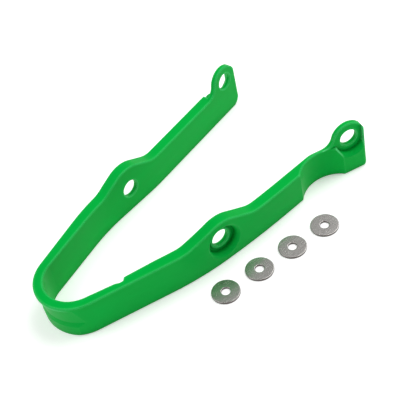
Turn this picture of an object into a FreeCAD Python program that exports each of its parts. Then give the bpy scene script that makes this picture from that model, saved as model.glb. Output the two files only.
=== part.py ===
"""Chain slider for a motorcycle swingarm, with its four loose penny washers.

The slider is one moulded band.  It wraps the swingarm behind the pivot like a
long asymmetric U: a round nose, then one arm for the upper chain run and one
for the lower run.  Each arm swells into a bump with a counterbored bolt hole
and ends in an eared tab with a second hole.  Here the band lies on its edge.

Frame: origin on the floor under the middle of the whole set, +X from the nose
towards the open end, +Y from the lower arm to the upper one, +Z up across the
width of the band.  Millimetres.  The design itself is drawn from the centre of
the nose arc and moved to the middle at the end.
"""
import FreeCAD
import Part
import math
import os

os.makedirs("parts", exist_ok=True)
V = FreeCAD.Vector

# ---- washers: M6 penny washers, which lie in the seats and set the ears' size ----
WASHER_OD = 20.0
WASHER_HOLE = 6.4
WASHER_T = 1.5
WASHER_EDGE = 0.2           # rolled rim left by the punch
WASHER_COUNT = 4
WASHER_SPACE = 8.6          # floor left between one loose washer and the next
WASHER_ROW_AT = 85.5        # row's start, along the near arm from its root
WASHER_ROW_OFF = 10.1       # floor left between the first washer and the arm
WASHER_HEADING = -4.1       # degrees, direction of the row

# ---- band: thickness and width ----
NOSE_R = 28.45              # outer radius of the nose
NOSE_WALL = 7.05
ARM_T = 9.0                 # wall of both arms behind the nose
FRONT_H = 28.8              # width of the band at the nose
REAR_H = 25.6               # width of the band towards the ears
EDGE_R = 0.9                # moulded radius on every long edge

# ---- near (lower) arm, outer wall: (length, heading) of its straight legs ----
NEAR_LEGS = ((78.1, -12.6), (52.1, -1.5), (60.5, 3.7), (40.2, -13.5))
NEAR_BENDS = (227.0, 661.0)
NEAR_CORNER = 14.0          # inner wall's bend where the ear's leg turns away
NEAR_HOLE_AT = 23.0         # hole distance along the second leg
NEAR_RISE = 18.0            # slope of the bump towards the nose, degrees
NEAR_FALL = 26.0            # slope of the bump towards the ear, degrees

# ---- far (upper) arm, inner wall ----
FAR_LEGS = ((60.2, 19.8), (53.0, 9.0), (107.0, 13.7))
FAR_BENDS = (158.0, 195.0)
FAR_FLARE = 2.2             # outer wall opens out from the nose, degrees
FAR_HOLE_AT = 30.1
FAR_RISE = 24.0
FAR_FALL = 29.0

# ---- bumps and their bolt seats ----
HOLE_Z = 18.8
BUMP_RISE = 8.5             # bump's top above the band's width at the nose
BUMP_R = 22.0
BUMP_BLEND = 20.0
BORE_R = 6.6                # clear hole for a shouldered spacer
BORE_LEAD = 0.5             # small lead-in at each end of a bore
BORE_SPLAY = 6.0            # how far the cutter opens out inboard of a bore
WASHER_CLEAR = 1.3          # washer play in its seat, on radius
SEAT_FLARE = 3.4            # radius of a seat's soft rolled mouth, where its wall is deep enough
SEAT_STRAIGHT = 0.5         # least straight wall left below that mouth
SEAT_SEAM = 110.0           # turns the seats' own seam away from the wall's edges
SEAT_ROLL = 72.0            # degrees the mouth turns before it meets the wall
SEAT_LAND = 3.5             # material left under a seat
RING_W = 1.8                # low ring standing round the bore, width at its top
RING_H = 0.7

# ---- ears ----
EAR_WALL = 2.7              # ear's round beyond the washer that lies in it
EAR_PLATE = 4.2             # an ear is thinner than the arm it grows from
EAR_BLEND = 9.0
EAR_ROOT = 8.0              # depth the ear's plate is sunk into the arm
LIP_CLEAR = 0.3             # from that washer to the lip left at the very end
LIP_TOP_R = 4.2             # roll-off at the top of that lip
END_EDGE = 2.4              # upright outer edge of each end
RIM_FROM = 1.0              # how far above the arm an ear's own rim starts
NEAR_EAR_TRIM = 1.8         # cut off the ear's round by the end of the arm
NEAR_EAR_RISE = 3.0         # ear's centre above the arm's top
NEAR_END_CORNER = 5.0       # rounded lower corner of the end
FAR_EAR_TRIM = 0.1
FAR_EAR_RISE = 4.6
FAR_END_CORNER = 9.0
FAR_STEP_AT = 17.6          # outboard step ahead of the far ear
FAR_STEP_DROP = 2.6         # depth of that step below the arm's top

# ---- scoop in the near arm, just ahead of its ear ----
SCOOP_R = 25.0
SCOOP_BACK = 1.0            # its centre, back along the third leg from the leg's end
SCOOP_WALL = 3.15           # wall left at its deepest

# ---- notch inside the near arm, where the thin wall meets the full wall ----
# (distance along the first leg, wall thickness left): down into it from the
# nose's wall, then up and out to the arm's
NOTCH = ((21.0, NOSE_WALL - 0.85), (23.8, NOSE_WALL - 1.95), (26.6, NOSE_WALL - 1.75),
         (28.0, ARM_T - 1.1), (52.0, ARM_T))
NOTCH_R = (6.0, 1.6, 1.3, 1.2, 40.0)

# ---- chain groove round the nose ----
GROOVE_Z = 12.6             # deepest line
GROOVE_TOP = 26.3
GROOVE_FOOT = 8.8           # top of the lip below the groove
GROOVE_DEPTH = 2.8
GROOVE_LIP = 1.0            # how far that lip stands out of the groove
GROOVE_SPAN = 55.0          # half angle at which it runs out
GROOVE_LEAN = 0.08          # slope of its upper flank
GROOVE_PAST = 3.0           # degrees its cutter turns past each run-out
GROOVE_CLEAR = 11.2         # how far its cutter reaches out beyond its floor

BUMP_TOP = FRONT_H + BUMP_RISE
EAR_R = WASHER_OD / 2 + EAR_WALL
NEAR_EAR_END = EAR_R - NEAR_EAR_TRIM    # ear centre to the end of the arm
FAR_EAR_END = EAR_R - FAR_EAR_TRIM
NEAR_EAR_Z = REAR_H + NEAR_EAR_RISE
FAR_EAR_Z = REAR_H + FAR_EAR_RISE
FAR_STEP_Z = REAR_H - FAR_STEP_DROP
RING_R = BORE_R + RING_W
WASHER_PITCH = WASHER_OD + WASHER_SPACE
INNER_R = NOSE_R - NOSE_WALL
SEAT_R = WASHER_OD / 2 + WASHER_CLEAR
PAST = 3.0                  # how far a cutter runs past what it cuts
BIG = 400.0                 # size of the half spaces that split the band
TINY = 1e-6                 # lengths and angles below this count as none
PICK = 1e-3                 # slack when an edge is picked by the box round it


def step(p, heading, length, side=0.0):
    """Point a distance along a heading, then off to its left by side."""
    a = math.radians(heading)
    x = p.x + length * math.cos(a) - side * math.sin(a)
    y = p.y + length * math.sin(a) + side * math.cos(a)
    return V(x, y, 0)


def walk(start, legs):
    points = [start]
    for length, heading in legs:
        points.append(step(points[-1], heading, length))
    return points


def meet(p, heading_p, q, heading_q):
    """Where two lines in plan cross."""
    a = math.radians(heading_p)
    b = math.radians(heading_q)
    det = math.sin(b - a)
    t = ((q.x - p.x) * math.sin(b) - (q.y - p.y) * math.cos(b)) / det
    return V(p.x + t * math.cos(a), p.y + t * math.sin(a), 0)


def rounded(corners):
    """Closed wire through (point, radius) corners, each rounded off."""
    n = len(corners)
    spans = []
    for i in range(n):
        before = corners[i - 1][0]
        here, radius = corners[i]
        after = corners[(i + 1) % n][0]
        u = (before - here).normalize()
        w = (after - here).normalize()
        half = math.acos(max(-1.0, min(1.0, u.dot(w)))) / 2
        if radius <= 0 or abs(half - math.pi / 2) < TINY:
            spans.append((here, here, here))
            continue
        cut = radius / math.tan(half)
        bis = (u + w).normalize()
        middle = here + bis * (radius / math.sin(half) - radius)
        spans.append((here + u * cut, middle, here + w * cut))
    edges = []
    for i in range(n):
        a, m, b = spans[i]
        if (a - b).Length > TINY:
            edges.append(Part.Arc(a, m, b).toShape())
        c = spans[(i + 1) % n][0]
        if (b - c).Length > TINY:
            edges.append(Part.makeLine(b, c))
    return Part.Wire(edges)


def prism(corners, vector):
    return Part.Face(rounded(corners)).extrude(vector)


def upright(p, heading):
    """Local frame on a wall: x along it, y up, z pointing to its right."""
    a = math.radians(heading)
    m = FreeCAD.Matrix()
    m.A11, m.A12, m.A13, m.A14 = math.cos(a), 0, math.sin(a), p.x
    m.A21, m.A22, m.A23, m.A24 = math.sin(a), 0, -math.cos(a), p.y
    m.A31, m.A32, m.A33, m.A34 = 0, 1, 0, 0
    return m


def placed(shape, p, heading):
    out = shape.copy()
    out.transformShape(upright(p, heading))
    return out


# ---------------------------------------------------------------- plan
near_heading = NEAR_LEGS[0][1]
far_heading = FAR_LEGS[0][1]
NEAR_START = V(NOSE_R * math.sin(math.radians(near_heading)),
               -NOSE_R * math.cos(math.radians(near_heading)), 0)
FAR_START = V(-INNER_R * math.sin(math.radians(far_heading)),
              INNER_R * math.cos(math.radians(far_heading)), 0)
near_outer = walk(NEAR_START, NEAR_LEGS)
far_inner = walk(FAR_START, FAR_LEGS)


def beside(points, legs, side):
    """The same legs, moved sideways by a constant wall thickness."""
    out = []
    for i in range(1, len(legs)):
        p = step(points[i], legs[i - 1][1], 0, side)
        q = step(points[i], legs[i][1], 0, side)
        out.append(meet(p, legs[i - 1][1], q, legs[i][1]))
    out.append(step(points[-1], legs[-1][1], 0, side))
    return out


near_inner = beside(near_outer, NEAR_LEGS, ARM_T)
far_outer = beside(far_inner, FAR_LEGS, ARM_T)

# The far arm's outer wall leaves the nose a little steeper than its inner one
flare_heading = far_heading + FAR_FLARE
FLARE_START = V(-NOSE_R * math.sin(math.radians(flare_heading)),
                NOSE_R * math.cos(math.radians(flare_heading)), 0)
far_outer[0] = meet(FLARE_START, flare_heading, far_outer[1], FAR_LEGS[1][1])
nose_outer = meet(NEAR_START, near_heading, FLARE_START, flare_heading)

notch = [step(NEAR_START, near_heading, s, t) for s, t in NOTCH]
# Inner nose: tangent lines to the inner arc, one through the notch's start
bearing = math.degrees(math.atan2(notch[0].y, notch[0].x))
inner_heading = bearing + math.degrees(math.asin(INNER_R / notch[0].Length))
nose_inner = meet(notch[0], inner_heading, FAR_START, far_heading)

corners = [(nose_outer, NOSE_R)]
corners += [(near_outer[1], NEAR_BENDS[0]), (near_outer[2], NEAR_BENDS[1])]
corners += [(near_outer[3], 0), (near_outer[4], END_EDGE)]
corners += [(near_inner[3], EDGE_R), (near_inner[2], NEAR_CORNER)]
corners += [(near_inner[1], NEAR_BENDS[1] - ARM_T)]
corners += [(near_inner[0], NEAR_BENDS[0] - ARM_T)]
corners += [(p, r) for p, r in zip(reversed(notch), reversed(NOTCH_R))]
corners += [(nose_inner, INNER_R)]
corners += [(far_inner[1], FAR_BENDS[0]), (far_inner[2], FAR_BENDS[1])]
corners += [(far_inner[3], EDGE_R), (far_outer[2], END_EDGE)]
corners += [(far_outer[1], FAR_BENDS[1] - ARM_T)]
corners += [(far_outer[0], FAR_BENDS[0] + ARM_T)]
plan = prism(corners, V(0, 0, BIG))


# ---------------------------------------------------------------- heights
def cap(rise, fall, before, after):
    """Side view of an arm: nose width, bump over the hole, rear width."""
    a = math.radians(rise)
    b = math.radians(fall)
    zc = BUMP_TOP - BUMP_R
    x1 = (FRONT_H - zc - BUMP_R / math.cos(a)) / math.tan(a)
    x2 = BUMP_R * (1 / math.cos(b) - 1 / math.cos(a))
    x2 /= math.tan(a) + math.tan(b)
    z2 = zc + BUMP_R / math.cos(a) + x2 * math.tan(a)
    x3 = (zc + BUMP_R / math.cos(b) - REAR_H) / math.tan(b)
    points = [(V(-before, 0, 0), 0), (V(after, 0, 0), 0)]
    points += [(V(after, REAR_H, 0), 0), (V(x3, REAR_H, 0), BUMP_BLEND)]
    points += [(V(x2, z2, 0), BUMP_R), (V(x1, FRONT_H, 0), BUMP_BLEND)]
    points += [(V(-before, FRONT_H, 0), 0)]
    return points


near_hole = step(near_outer[1], NEAR_LEGS[1][1], NEAR_HOLE_AT)
far_hole = step(far_inner[1], FAR_LEGS[1][1], FAR_HOLE_AT)
near_hole_heading = NEAR_LEGS[1][1]
far_hole_heading = FAR_LEGS[1][1]

near_cap = prism(cap(NEAR_RISE, NEAR_FALL, BIG / 2, BIG / 2), V(0, 0, BIG))
near_cap.translate(V(0, 0, -BIG / 2))
near_cap = placed(near_cap, near_hole, near_hole_heading)
far_cap = prism(cap(FAR_RISE, FAR_FALL, BIG / 2, BIG / 2), V(0, 0, BIG))
far_cap.translate(V(0, 0, -BIG / 2))
far_cap = placed(far_cap, far_hole, far_hole_heading)
near_side = Part.makeBox(2 * BIG, BIG, BIG, V(-BIG, -BIG, -PAST))
far_side = Part.makeBox(2 * BIG, BIG, BIG, V(-BIG, 0, -PAST))
near_half = plan.common(near_side).common(near_cap)
far_half = plan.common(far_side).common(far_cap)
band = near_half.fuse(far_half).removeSplitter()


STEEPEST = 0.6              # rise over run below which an edge counts as along the band


def long_edges(shape):
    """Edges that run along the band, top and bottom, not the upright ones."""
    out = []
    for e in shape.Edges:
        box = e.BoundBox
        if box.ZLength < STEEPEST * max(box.XLength, box.YLength):
            out.append(e)
    return out


# ---------------------------------------------------------------- ears
class Tab:
    """End of an arm.  Its own frame has x along the arm from the ear's centre,
    y up from the floor and z across the arm, from the inner wall outboard."""

    def __init__(self, inner_end, heading, outboard, reach, ear_z, corner):
        self.centre = step(inner_end, heading, -reach)
        self.heading = heading
        self.outboard = outboard
        self.reach = reach
        self.ear_z = ear_z
        self.corner = corner
        self.lip = reach - WASHER_OD / 2 - LIP_CLEAR

    def place(self, shape):
        out = shape.copy()
        if self.outboard < 0:
            out = out.mirror(V(0, 0, 0), V(0, 0, 1))
        return placed(out, self.centre, self.heading)


near_inner_end = step(near_outer[4], NEAR_LEGS[3][1], 0, ARM_T)
near_tab = Tab(near_inner_end, NEAR_LEGS[3][1], 1, NEAR_EAR_END, NEAR_EAR_Z, NEAR_END_CORNER)
far_tab = Tab(far_inner[3], FAR_LEGS[2][1], -1, FAR_EAR_END, FAR_EAR_Z, FAR_END_CORNER)


def ear_side_view(tab):
    """Outline of an ear seen from the side, blended into the top of the arm."""
    drop = REAR_H + EAR_BLEND - tab.ear_z
    swing_r = EAR_R + EAR_BLEND
    dx = math.sqrt(swing_r ** 2 - drop ** 2)
    swing = V(-dx, REAR_H + EAR_BLEND, 0)
    centre = V(0, tab.ear_z, 0)
    touch = centre + (swing - centre) * (EAR_R / swing_r)
    half = math.atan2(dx, drop) / 2
    mid = swing + V(EAR_BLEND * math.sin(half), -EAR_BLEND * math.cos(half), 0)
    foot = REAR_H - EAR_ROOT
    end_z = tab.ear_z + math.sqrt(EAR_R ** 2 - tab.reach ** 2)
    a = V(-dx, foot, 0)
    b = V(-dx, REAR_H, 0)
    c = V(tab.reach, end_z, 0)
    e = V(tab.reach, foot, 0)
    edges = [Part.makeLine(a, b), Part.Arc(b, mid, touch).toShape()]
    edges.append(Part.Arc(touch, V(0, tab.ear_z + EAR_R, 0), c).toShape())
    edges += [Part.makeLine(c, e), Part.makeLine(e, a)]
    return Part.Face(Part.Wire(edges))


def ear_plate(tab):
    """Eared plate with a rounded rim."""
    plate = ear_side_view(tab).extrude(V(0, 0, EAR_PLATE))
    rims = []
    for edge in plate.Edges:
        box = edge.BoundBox
        if box.ZLength < PICK and box.YMax > REAR_H + RIM_FROM:
            rims.append(edge)
    return plate.makeFillet(EDGE_R, rims)


def ear_lip(tab):
    """Lip across the arm's whole thickness at its end, rolled off at the top."""
    inner = tab.reach - tab.lip
    crest = tab.ear_z + math.sqrt(EAR_R ** 2 - inner ** 2)
    end_view = [(V(0, 0, 0), 0), (V(crest, 0, 0), 0), (V(crest, ARM_T, 0), LIP_TOP_R), (V(0, ARM_T, 0), 0)]
    slab = prism(end_view, V(0, 0, tab.lip + PAST))
    slab.rotate(V(0, 0, 0), V(1, 1, 1), 120)    # x, y, z become y, z, x
    slab.translate(V(inner, 0, 0))
    return ear_side_view(tab).extrude(V(0, 0, ARM_T)).common(slab)


def end_corner(tab):
    """Waste outside the rounded lower corner of an arm's end."""
    r = tab.corner
    k = r * (1 - math.sqrt(0.5))
    a = V(tab.reach - r, 0, 0)
    b = V(tab.reach, r, 0)
    arc = Part.Arc(a, V(tab.reach - k, k, 0), b).toShape()
    loop = [b, V(tab.reach + PAST, r, 0), V(tab.reach + PAST, -PAST, 0), V(tab.reach - r, -PAST, 0), a]
    lines = [Part.makeLine(p, q) for p, q in zip(loop, loop[1:])]
    waste = Part.Face(Part.Wire([arc] + lines)).extrude(V(0, 0, ARM_T + 2 * PAST))
    waste.translate(V(0, 0, -PAST))
    return waste


scoop_out = SCOOP_R - (ARM_T - SCOOP_WALL)
scoop_centre = step(near_outer[3], NEAR_LEGS[2][1], -SCOOP_BACK, -scoop_out)
scoop = Part.makeCylinder(SCOOP_R, BIG, V(scoop_centre.x, scoop_centre.y, -PAST))
band = band.cut(scoop)
band = band.makeFillet(EDGE_R, long_edges(band))

for tab in (near_tab, far_tab):
    band = band.cut(tab.place(end_corner(tab)))
    band = band.fuse(tab.place(ear_plate(tab)).cut(scoop))
    band = band.fuse(tab.place(ear_lip(tab)).common(plan))
band = band.removeSplitter()

far_step = Part.makeBox(FAR_STEP_AT, BIG, BIG, V(-FAR_STEP_AT, FAR_STEP_Z, EAR_PLATE))
band = band.cut(far_tab.place(far_step))


# ---------------------------------------------------------------- bolt seats
def seat(land, ring):
    """Tool for a bore with a washer seat outboard of it; local z is outboard."""
    lead = BORE_LEAD
    f = min(SEAT_FLARE, ARM_T - land - ring - SEAT_STRAIGHT)
    r = SEAT_R
    shelf = land + ring
    wide = BORE_R + lead
    profile = [(0, -BORE_SPLAY), (wide + BORE_SPLAY, -BORE_SPLAY), (wide, 0), (BORE_R, lead)]
    profile += [(BORE_R, shelf - lead), (wide, shelf)]
    if ring > 0:
        profile += [(RING_R, shelf), (RING_R + ring, land)]
    profile += [(r, land), (r, ARM_T - f)]
    pts = [V(x, 0, z) for x, z in profile]
    turn = math.radians(SEAT_ROLL)
    mid = V(r + f - f * math.cos(turn / 2), 0, ARM_T - f + f * math.sin(turn / 2))
    lip = V(r + f - f * math.cos(turn), 0, ARM_T - f + f * math.sin(turn))
    away = lip + V(PAST * math.tan(turn), 0, PAST)
    far = V(away.x, 0, BIG)
    top = V(0, 0, BIG)
    edges = [Part.makeLine(p, q) for p, q in zip(pts, pts[1:])]
    edges.append(Part.Arc(pts[-1], mid, lip).toShape())
    loop = [lip, away, far, top, pts[0]]
    edges += [Part.makeLine(p, q) for p, q in zip(loop, loop[1:])]
    tool = Part.Face(Part.Wire(edges)).revolve(V(0, 0, 0), V(0, 0, 1), 360)
    tool.rotate(V(0, 0, 0), V(0, 0, 1), SEAT_SEAM)
    return tool


def arm_seat(point, heading, outboard):
    """Seat and bore in an arm's bump."""
    tool = seat(SEAT_LAND, RING_H)
    if outboard < 0:
        tool = tool.mirror(V(0, 0, 0), V(0, 0, 1))
    tool.translate(V(0, HOLE_Z, 0))
    return placed(tool, point, heading)


def ear_seat(tab):
    """Seat and bore in an ear, stopped short of the lip at the arm's end."""
    tool = seat(EAR_PLATE, 0)
    room = Part.makeBox(BIG, BIG, BIG, V(tab.reach - tab.lip - BIG, -BIG / 2, -BIG / 2))
    tool = tool.common(room)
    tool.translate(V(0, tab.ear_z, 0))
    return tab.place(tool)


near_hole_inner = step(near_hole, near_hole_heading, 0, ARM_T)
band = band.cut(arm_seat(near_hole_inner, near_hole_heading, 1))
band = band.cut(arm_seat(far_hole, far_hole_heading, -1))
band = band.cut(ear_seat(near_tab))
band = band.cut(ear_seat(far_tab))

# ---------------------------------------------------------------- nose groove
# The cutter's axis sits behind the nose's own, so the groove runs out at its ends
shift = GROOVE_DEPTH / (1 - math.cos(math.radians(GROOVE_SPAN)))
groove_r = NOSE_R + shift - GROOVE_DEPTH
axis_heading = (near_heading + flare_heading) / 2
axis = step(V(0, 0, 0), axis_heading, shift)
top_r = groove_r + GROOVE_LEAN * (GROOVE_TOP - GROOVE_Z)
lip_r = groove_r + GROOVE_LIP
clear_r = groove_r + GROOVE_CLEAR
groove_section = [(groove_r, GROOVE_Z), (top_r, GROOVE_TOP), (clear_r, GROOVE_TOP + EDGE_R)]
groove_section += [(clear_r, -PAST), (lip_r, -PAST), (lip_r, GROOVE_FOOT), (groove_r, GROOVE_Z)]
half_turn = GROOVE_SPAN + GROOVE_PAST
groove_wire = Part.makePolygon([V(r, 0, z) for r, z in groove_section])
groove = Part.Face(groove_wire).revolve(V(0, 0, 0), V(0, 0, 1), 2 * half_turn)
groove.rotate(V(0, 0, 0), V(0, 0, 1), 180 + axis_heading - half_turn)
groove.translate(axis)
band = band.cut(groove)


# ---------------------------------------------------------------- washers
def washer(centre):
    c = WASHER_EDGE
    ro = WASHER_OD / 2
    ri = WASHER_HOLE / 2
    t = WASHER_T
    rim = [(ri, c), (ri + c, 0), (ro - c, 0), (ro, c), (ro, t - c), (ro - c, t)]
    rim += [(ri + c, t), (ri, t - c), (ri, c)]
    wire = Part.makePolygon([V(r, 0, z) for r, z in rim])
    body = Part.Face(wire).revolve(V(0, 0, 0), V(0, 0, 1), 360)
    body.translate(centre)
    return body


row_off = WASHER_ROW_OFF + WASHER_OD / 2
first = step(NEAR_START, near_heading, WASHER_ROW_AT, -row_off)
seats_on_floor = [step(first, WASHER_HEADING, i * WASHER_PITCH) for i in range(WASHER_COUNT)]

# Middle of the footprint: nose to the near ear, last washer to the far arm
footprint = plan.BoundBox
low_y = min(c.y for c in seats_on_floor) - WASHER_OD / 2
high_x = max(footprint.XMax, max(c.x for c in seats_on_floor) + WASHER_OD / 2)
middle = V((footprint.XMin + high_x) / 2, (low_y + footprint.YMax) / 2, 0)

band.translate(middle * -1)
band.exportStep("parts/slider_band.step")
for i, centre in enumerate(seats_on_floor):
    washer(centre - middle).exportStep("parts/washer_%d.step" % (i + 1))
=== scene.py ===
"""Looks for a swingarm chain slider and its four loose penny washers.

The slider is one injection moulding in green nylon and keeps the CAD's own
shape.  The washers are pressed from cold-rolled stainless sheet and are made
again here, with the rolled edge and the torn edge that a punch leaves.
Lengths are metres, as in the frame; MM turns a size in millimetres into them.
"""

import math

import bpy
from mathutils import Matrix, Vector


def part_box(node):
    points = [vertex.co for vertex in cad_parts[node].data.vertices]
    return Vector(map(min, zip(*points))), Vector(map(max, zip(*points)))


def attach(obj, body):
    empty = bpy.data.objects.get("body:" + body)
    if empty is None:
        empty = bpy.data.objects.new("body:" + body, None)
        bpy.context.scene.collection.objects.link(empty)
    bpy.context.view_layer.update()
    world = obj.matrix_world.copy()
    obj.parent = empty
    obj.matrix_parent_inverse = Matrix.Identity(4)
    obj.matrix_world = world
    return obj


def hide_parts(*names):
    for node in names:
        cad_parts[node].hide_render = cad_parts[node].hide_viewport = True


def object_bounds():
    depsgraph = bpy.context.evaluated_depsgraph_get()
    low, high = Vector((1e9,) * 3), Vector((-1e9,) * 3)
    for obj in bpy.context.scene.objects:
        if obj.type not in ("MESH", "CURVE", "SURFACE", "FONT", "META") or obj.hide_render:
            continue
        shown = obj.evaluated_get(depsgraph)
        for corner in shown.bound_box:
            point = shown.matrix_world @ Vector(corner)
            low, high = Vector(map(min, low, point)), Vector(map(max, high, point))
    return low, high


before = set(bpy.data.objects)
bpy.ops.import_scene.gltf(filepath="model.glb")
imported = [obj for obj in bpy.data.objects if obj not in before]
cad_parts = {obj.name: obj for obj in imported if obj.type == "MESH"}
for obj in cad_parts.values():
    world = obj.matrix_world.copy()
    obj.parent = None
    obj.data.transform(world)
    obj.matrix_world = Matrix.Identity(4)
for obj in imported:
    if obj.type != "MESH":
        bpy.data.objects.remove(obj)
cad_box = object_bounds()

MM = 0.001

# a Mix node's sockets share their names, so they go by number: first, second and result
FIRST_COLOUR, SECOND_COLOUR, MIXED_COLOUR = 6, 7, 2
FIRST_VALUE, SECOND_VALUE, MIXED_VALUE = 2, 3, 0
AO_RAYS = 8             # rays that look for a wall nearby


def srgb(code):
    """'#rrggbb' as a linear colour with full alpha."""
    parts = [int(code[i:i + 2], 16) / 255 for i in (1, 3, 5)]
    linear = [c / 12.92 if c <= 0.04045 else ((c + 0.055) / 1.055) ** 2.4 for c in parts]
    return linear + [1.0]


def add(tree, kind, links=(), **settings):
    """Adds a node: settings are its properties, links its inputs' values or sources."""
    node = tree.nodes.new(kind)
    for name, value in settings.items():
        setattr(node, name, value)
    for key, value in dict(links).items():
        if isinstance(value, bpy.types.NodeSocket):
            tree.links.new(value, node.inputs[key])
        else:
            node.inputs[key].default_value = value
    return node


def new_material(name):
    """A material with an empty tree, its output node and object coordinates."""
    material = bpy.data.materials.new(name)
    material.use_nodes = True
    tree = material.node_tree
    tree.nodes.clear()
    out = add(tree, "ShaderNodeOutputMaterial")
    place = add(tree, "ShaderNodeTexCoord").outputs["Object"]
    return material, tree, out, place


# ------------------------------------------------------------ moulded nylon
def moulded_nylon():
    """Injection-moulded nylon 6, coloured right through: a waxy half gloss from the mould's
    spark-eroded skin, faint flow clouds along the melt's way, a painted pale highlight on
    the edges, painted shade in the shut-in corners, and a little light let in below the
    surface."""
    material, tree, out, place = new_material("moulded_nylon_green")
    # the melt ran along the band, so its clouds are drawn out lengthwise, 60 by 15 mm
    cloud = (60 * MM, 15 * MM, 15 * MM)
    run = add(tree, "ShaderNodeMapping", {"Vector": place, "Scale": [1 / c for c in cloud]})
    flow = add(tree, "ShaderNodeTexNoise", {
        "Vector": run.outputs["Vector"], "Scale": 1.0, "Detail": 4.0, "Roughness": 0.55,
        "Distortion": 0.6})
    pigment = add(tree, "ShaderNodeMix", {
        "Factor": flow.outputs["Fac"], FIRST_COLOUR: srgb("#009c36"),
        SECOND_COLOUR: srgb("#00ae40")}, data_type="RGBA")
    # looking inward, only an edge has another wall this near: a pale highlight is painted there
    edge_reach = 1.8 * MM
    near_edge = add(tree, "ShaderNodeAmbientOcclusion", {"Distance": edge_reach},
                    samples=AO_RAYS, inside=True)
    edge = add(tree, "ShaderNodeMapRange", {
        "Value": near_edge.outputs["AO"], "From Min": 0.90, "From Max": 0.55,
        "To Min": 0.0, "To Max": 0.75})
    # painted highlight: the colour along the edges is mixed towards pale green
    painted_edge_highlight = add(tree, "ShaderNodeMix", {
        "Factor": edge.outputs["Result"], FIRST_COLOUR: pigment.outputs[MIXED_COLOUR],
        SECOND_COLOUR: srgb("#62e08e")}, data_type="RGBA")
    # painted shade: the corners that other walls shut in are darkened in colour
    corner_reach = 6 * MM
    shut_in = add(tree, "ShaderNodeAmbientOcclusion", {"Distance": corner_reach},
                  samples=AO_RAYS)
    corner = add(tree, "ShaderNodeMapRange", {
        "Value": shut_in.outputs["AO"], "From Min": 0.35, "From Max": 0.9,
        "To Min": 0.6, "To Max": 0.0})
    # painted shade mixed into the colour in the shut-in corners
    tint = add(tree, "ShaderNodeMix", {
        "Factor": corner.outputs["Result"], FIRST_COLOUR: painted_edge_highlight.outputs[MIXED_COLOUR],
        SECOND_COLOUR: srgb("#00661c")}, data_type="RGBA")
    # the skin's real pits are near 0.05 mm; they are drawn this coarse so that they show
    pit = 0.6 * MM
    skin = add(tree, "ShaderNodeTexNoise", {
        "Vector": place, "Scale": 1 / pit, "Detail": 4.0, "Roughness": 0.6})
    # sink and handling make long shallow waves
    wave = 9 * MM
    waves = add(tree, "ShaderNodeTexNoise", {
        "Vector": place, "Scale": 1 / wave, "Detail": 1.0})
    gloss = add(tree, "ShaderNodeMapRange", {
        "Value": flow.outputs["Fac"], "From Min": 0.3, "From Max": 0.7,
        "To Min": 0.34, "To Max": 0.46})
    sunk = add(tree, "ShaderNodeBump", {
        "Height": waves.outputs["Fac"], "Strength": 0.25, "Distance": 0.3 * MM})
    bump = add(tree, "ShaderNodeBump", {
        "Height": skin.outputs["Fac"], "Strength": 0.14, "Distance": 0.1 * MM,
        "Normal": sunk.outputs["Normal"]})
    # its shine is held well under real nylon's and tinted, which keeps the green deep
    shader = add(tree, "ShaderNodeBsdfPrincipled", {
        "Base Color": tint.outputs[MIXED_COLOUR], "Roughness": gloss.outputs["Result"],
        "IOR": 1.53, "Normal": bump.outputs["Normal"], "Specular IOR Level": 0.08,
        "Specular Tint": srgb("#64ff9b"), "Subsurface Weight": 0.08,
        "Subsurface Radius": (0.2, 1.0, 0.4), "Subsurface Scale": MM})
    tree.links.new(shader.outputs["BSDF"], out.inputs["Surface"])
    return material


# ------------------------------------------------------------ pressed steel
def pressed_steel():
    """Cold-rolled stainless sheet, punched and tumbled: a grey satin face with fine
    rolling lines one way, tumbling nicks every way, and darker walls where the punch
    sheared it, partly their real torn finish and partly painted shade."""
    material, tree, out, place = new_material("tumbled_stainless_steel")
    # rolling lines are finer than 0.1 mm; they are drawn this far apart so that they show
    line_apart = 0.5 * MM
    line_long = 11 * MM
    lines = add(tree, "ShaderNodeMapping", {
        "Vector": place, "Scale": (1 / line_long, 1 / line_apart, 1.0)})
    rolled = add(tree, "ShaderNodeTexNoise", {
        "Vector": lines.outputs["Vector"], "Scale": 1.0, "Detail": 3.0})
    # tumbling nicks are a few tenths of a millimetre; they too are drawn coarser to show
    nick = 0.8 * MM
    nicks = add(tree, "ShaderNodeTexNoise", {
        "Vector": place, "Scale": 1 / nick, "Detail": 5.0, "Roughness": 0.7})
    worn = add(tree, "ShaderNodeMix", {
        "Factor": 0.5, FIRST_VALUE: rolled.outputs["Fac"],
        SECOND_VALUE: nicks.outputs["Fac"]}).outputs[MIXED_VALUE]
    face = add(tree, "ShaderNodeMix", {
        "Factor": worn, FIRST_COLOUR: srgb("#989592"),
        SECOND_COLOUR: srgb("#d6d3d0")}, data_type="RGBA")
    # the punch's own marks: 1 on the sheared walls, 0 on the faces
    sheared = add(tree, "ShaderNodeAttribute", attribute_name="sheared").outputs["Fac"]
    # darker sheared walls: partly the real torn finish, partly painted shade for dark
    # surroundings
    tint = add(tree, "ShaderNodeMix", {
        "Factor": sheared, FIRST_COLOUR: face.outputs[MIXED_COLOUR],
        SECOND_COLOUR: srgb("#56504b")}, data_type="RGBA")
    rough = add(tree, "ShaderNodeMapRange", {
        "Value": worn, "From Min": 0.3, "From Max": 0.7, "To Min": 0.18, "To Max": 0.30})
    bump = add(tree, "ShaderNodeBump", {
        "Height": worn, "Strength": 0.15, "Distance": 0.04 * MM})
    shader = add(tree, "ShaderNodeBsdfPrincipled", {
        "Base Color": tint.outputs[MIXED_COLOUR], "Roughness": rough.outputs["Result"],
        "Metallic": 1.0, "Normal": bump.outputs["Normal"]})
    tree.links.new(shader.outputs["BSDF"], out.inputs["Surface"])
    return material


nylon = moulded_nylon()
steel = pressed_steel()

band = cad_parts["slider_band"]
band.data.materials.clear()
band.data.materials.append(nylon)


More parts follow.
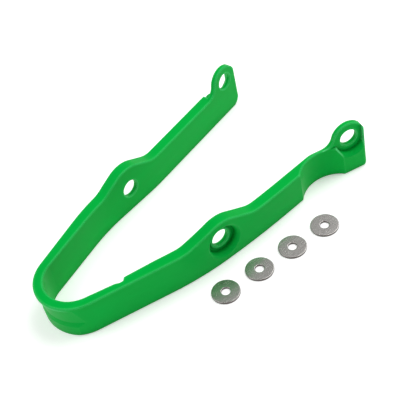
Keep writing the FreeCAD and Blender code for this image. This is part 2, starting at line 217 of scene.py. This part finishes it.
# ------------------------------------------------------------ washers
WASHERS = 4
TURNS = 96              # facets round a washer
HOLE_SHARE = 0.32       # a washer's hole against its outside diameter
ROLL = 0.32 * MM        # radius that the punch rolls over on the upper edge
ROLL_STEPS = 4          # facets across that radius
TEAR = 0.14 * MM        # broken edge left on the lower side
HOLD = 0.12 * MM        # support line beside a rolled edge, which keeps the face flat


def washer_section(inner, outer, low, high):
    """Section of one washer as (radius, height, sheared) points, anticlockwise.
    Sheared is 1 on the walls and fades to 0 over the rolled and torn edges."""
    quarter = [(i / ROLL_STEPS, math.radians(90 * i / ROLL_STEPS))
               for i in range(ROLL_STEPS + 1)]
    roll_z = high - ROLL
    points = [(inner + TEAR, low, 0), (outer - TEAR, low, 0), (outer, low + TEAR, 1)]
    points += [(outer - ROLL + ROLL * math.cos(a), roll_z + ROLL * math.sin(a), 1 - part)
               for part, a in quarter]
    points += [(outer - ROLL - HOLD, high, 0), (inner + ROLL + HOLD, high, 0)]
    points += [(inner + ROLL - ROLL * math.sin(a), roll_z + ROLL * math.cos(a), part)
               for part, a in quarter]
    return points + [(inner, low + TEAR, 1)]


def punched_tree():
    """Sweeps a section round a circle of the mean radius, in Turns facets, and sets the
    washer down at Centre in Steel."""
    tree = bpy.data.node_groups.new("punched_washer", "GeometryNodeTree")
    for name, kind in (("Geometry", "NodeSocketGeometry"), ("Mean Radius", "NodeSocketFloat"),
                       ("Turns", "NodeSocketInt"), ("Centre", "NodeSocketVector"),
                       ("Steel", "NodeSocketMaterial")):
        tree.interface.new_socket(name, in_out="INPUT", socket_type=kind)
    tree.interface.new_socket("Geometry", in_out="OUTPUT", socket_type="NodeSocketGeometry")
    into = add(tree, "NodeGroupInput").outputs
    circle = add(tree, "GeometryNodeCurvePrimitiveCircle", {
        "Resolution": into["Turns"], "Radius": into["Mean Radius"]})
    section = add(tree, "GeometryNodeMeshToCurve", {"Mesh": into["Geometry"]})
    solid = add(tree, "GeometryNodeCurveToMesh", {
        "Curve": circle.outputs["Curve"], "Profile Curve": section.outputs["Curve"]})
    placed = add(tree, "GeometryNodeTransform", {
        "Geometry": solid.outputs["Mesh"], "Translation": into["Centre"]})
    real = add(tree, "GeometryNodeRealizeInstances", {
        "Geometry": placed.outputs["Geometry"]})
    steeled = add(tree, "GeometryNodeSetMaterial", {
        "Geometry": real.outputs["Geometry"], "Material": into["Steel"]})
    add(tree, "NodeGroupOutput", {"Geometry": steeled.outputs["Geometry"]})
    return tree


def socket_of(tree, name):
    """Identifier of a tree's input by its name."""
    return next(i.identifier for i in tree.interface.items_tree
                if i.in_out == "INPUT" and i.name == name)


def punched_washer(tree, node):
    """One washer as an object with a plain mesh, as large as its CAD solid and in its place."""
    low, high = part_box(node)
    outer = (high.x - low.x) / 2
    inner = outer * HOLE_SHARE
    mean = (inner + outer) / 2
    # drawn about the circle that it follows, which carries x inward and y down
    points = washer_section(inner, outer, 0.0, high.z - low.z)
    mesh = bpy.data.meshes.new("washer_section")
    count = len(points)
    mesh.from_pydata([(mean - r, -z, 0.0) for r, z, _ in points],
                     [(i, (i + 1) % count) for i in range(count)], [])
    mark = mesh.attributes.new("sheared", "FLOAT", "POINT")
    mark.data.foreach_set("value", [float(s) for _, _, s in points])
    maker = bpy.data.objects.new("maker_" + node, mesh)
    bpy.context.scene.collection.objects.link(maker)
    modifier = maker.modifiers.new("punch", "NODES")
    modifier.node_group = tree
    centre = ((low.x + high.x) / 2, (low.y + high.y) / 2, low.z)
    for name, value in (("Mean Radius", mean), ("Turns", TURNS), ("Centre", centre),
                        ("Steel", steel)):
        modifier[socket_of(tree, name)] = value
    bpy.context.view_layer.update()
    evaluated = maker.evaluated_get(bpy.context.evaluated_depsgraph_get())
    plain = bpy.data.meshes.new_from_object(evaluated)
    bpy.data.objects.remove(maker)
    piece = bpy.data.objects.new("punched_" + node, plain)
    bpy.context.scene.collection.objects.link(piece)
    return piece


punched = punched_tree()
for number in range(1, WASHERS + 1):
    node = "washer_%d" % number
    piece = punched_washer(punched, node)
    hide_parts(node)
    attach(piece, "loose_" + node)


# ------------------------------------------------------------ stage
def backlit_acrylic():
    """Matt white acrylic, lit from behind so that hardly a shadow is left on it."""
    material, tree, out, place = new_material("backlit_white_acrylic")
    haze_size = 40 * MM
    haze = add(tree, "ShaderNodeTexNoise", {
        "Vector": place, "Scale": 1 / haze_size, "Detail": 2.0})
    tint = add(tree, "ShaderNodeMix", {
        "Factor": haze.outputs["Fac"], FIRST_COLOUR: srgb("#f6f6f6"),
        SECOND_COLOUR: srgb("#fafafa")}, data_type="RGBA")
    shader = add(tree, "ShaderNodeBsdfPrincipled", {
        "Base Color": tint.outputs[MIXED_COLOUR], "Roughness": 0.9,
        "Specular IOR Level": 0.1, "Emission Color": srgb("#ffffff"),
        "Emission Strength": 0.25})
    tree.links.new(shader.outputs["BSDF"], out.inputs["Surface"])
    return material


FLOOR_HALF = 3.0        # half the floor's side
CORNERS = ((-1, -1), (1, -1), (1, 1), (-1, 1))
floor_mesh = bpy.data.meshes.new("floor")
floor_mesh.from_pydata([(x * FLOOR_HALF, y * FLOOR_HALF, 0.0) for x, y in CORNERS], [],
                       [tuple(range(len(CORNERS)))])
floor = bpy.data.objects.new("floor", floor_mesh)
floor.location.z = cad_box[0].z
bpy.context.scene.collection.objects.link(floor)
floor_mesh.materials.append(backlit_acrylic())


def softbox(name, place, aim, size, watts):
    """A square softbox, size along each side, at a place and turned to face a point."""
    data = bpy.data.lights.new(name, "AREA")
    data.shape = "RECTANGLE"
    data.size = data.size_y = size
    data.energy = watts
    lamp = bpy.data.objects.new(name, data)
    lamp.location = place
    lamp.rotation_euler = (Vector(aim) - Vector(place)).to_track_quat("-Z", "Y").to_euler()
    bpy.context.scene.collection.objects.link(lamp)


middle = (cad_box[0] + cad_box[1]) / 2
softbox("softbox_right", (0.75, -0.05, 1.15), middle, size=1.1, watts=14)
softbox("softbox_left", (-0.7, 0.35, 0.9), middle, size=1.0, watts=6)

ROOM_LIGHT = 0.4        # strength of the white room all round
world = bpy.data.worlds.new("studio")
world.use_nodes = True
room = world.node_tree.nodes["Background"].inputs
room["Color"].default_value = srgb("#ffffff")
room["Strength"].default_value = ROOM_LIGHT
bpy.context.scene.world = world

# ------------------------------------------------------------ camera
CAMERA_FROM_WASHER = Vector((-0.2123, -0.3792, 0.535))  # x, y from washer_1's centre
CAMERA_HEADING = math.radians(61.0)     # which way it looks, from +X towards +Y
CAMERA_DOWN = math.radians(45.55)       # how far it looks below the level
CAMERA_ROLL = math.radians(-14.1)
CAMERA_LENS = 92.1          # mm
CAMERA_SENSOR = 36.0        # mm, its width
CAMERA_NEAR = 0.01          # nothing nearer than this is drawn

lens = bpy.data.cameras.new("camera")
lens.lens = CAMERA_LENS
lens.sensor_width = CAMERA_SENSOR
lens.clip_start = CAMERA_NEAR
camera = bpy.data.objects.new("camera", lens)
level = math.cos(CAMERA_DOWN)
aim = Vector((level * math.cos(CAMERA_HEADING), level * math.sin(CAMERA_HEADING),
              -math.sin(CAMERA_DOWN)))
right = Vector((math.sin(CAMERA_HEADING), -math.cos(CAMERA_HEADING), 0.0))
up = right.cross(aim)
side = right * math.cos(CAMERA_ROLL) + up * math.sin(CAMERA_ROLL)
top = up * math.cos(CAMERA_ROLL) - right * math.sin(CAMERA_ROLL)
camera.matrix_world = Matrix((side, top, -aim)).transposed().to_4x4()
washer_low, washer_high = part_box("washer_1")
camera.location = (washer_low + washer_high) / 2 + CAMERA_FROM_WASHER
camera.location.z = CAMERA_FROM_WASHER.z     # measured up from the floor
bpy.context.scene.collection.objects.link(camera)
bpy.context.scene.camera = camera
bpy.context.scene.view_settings.view_transform = "Standard"
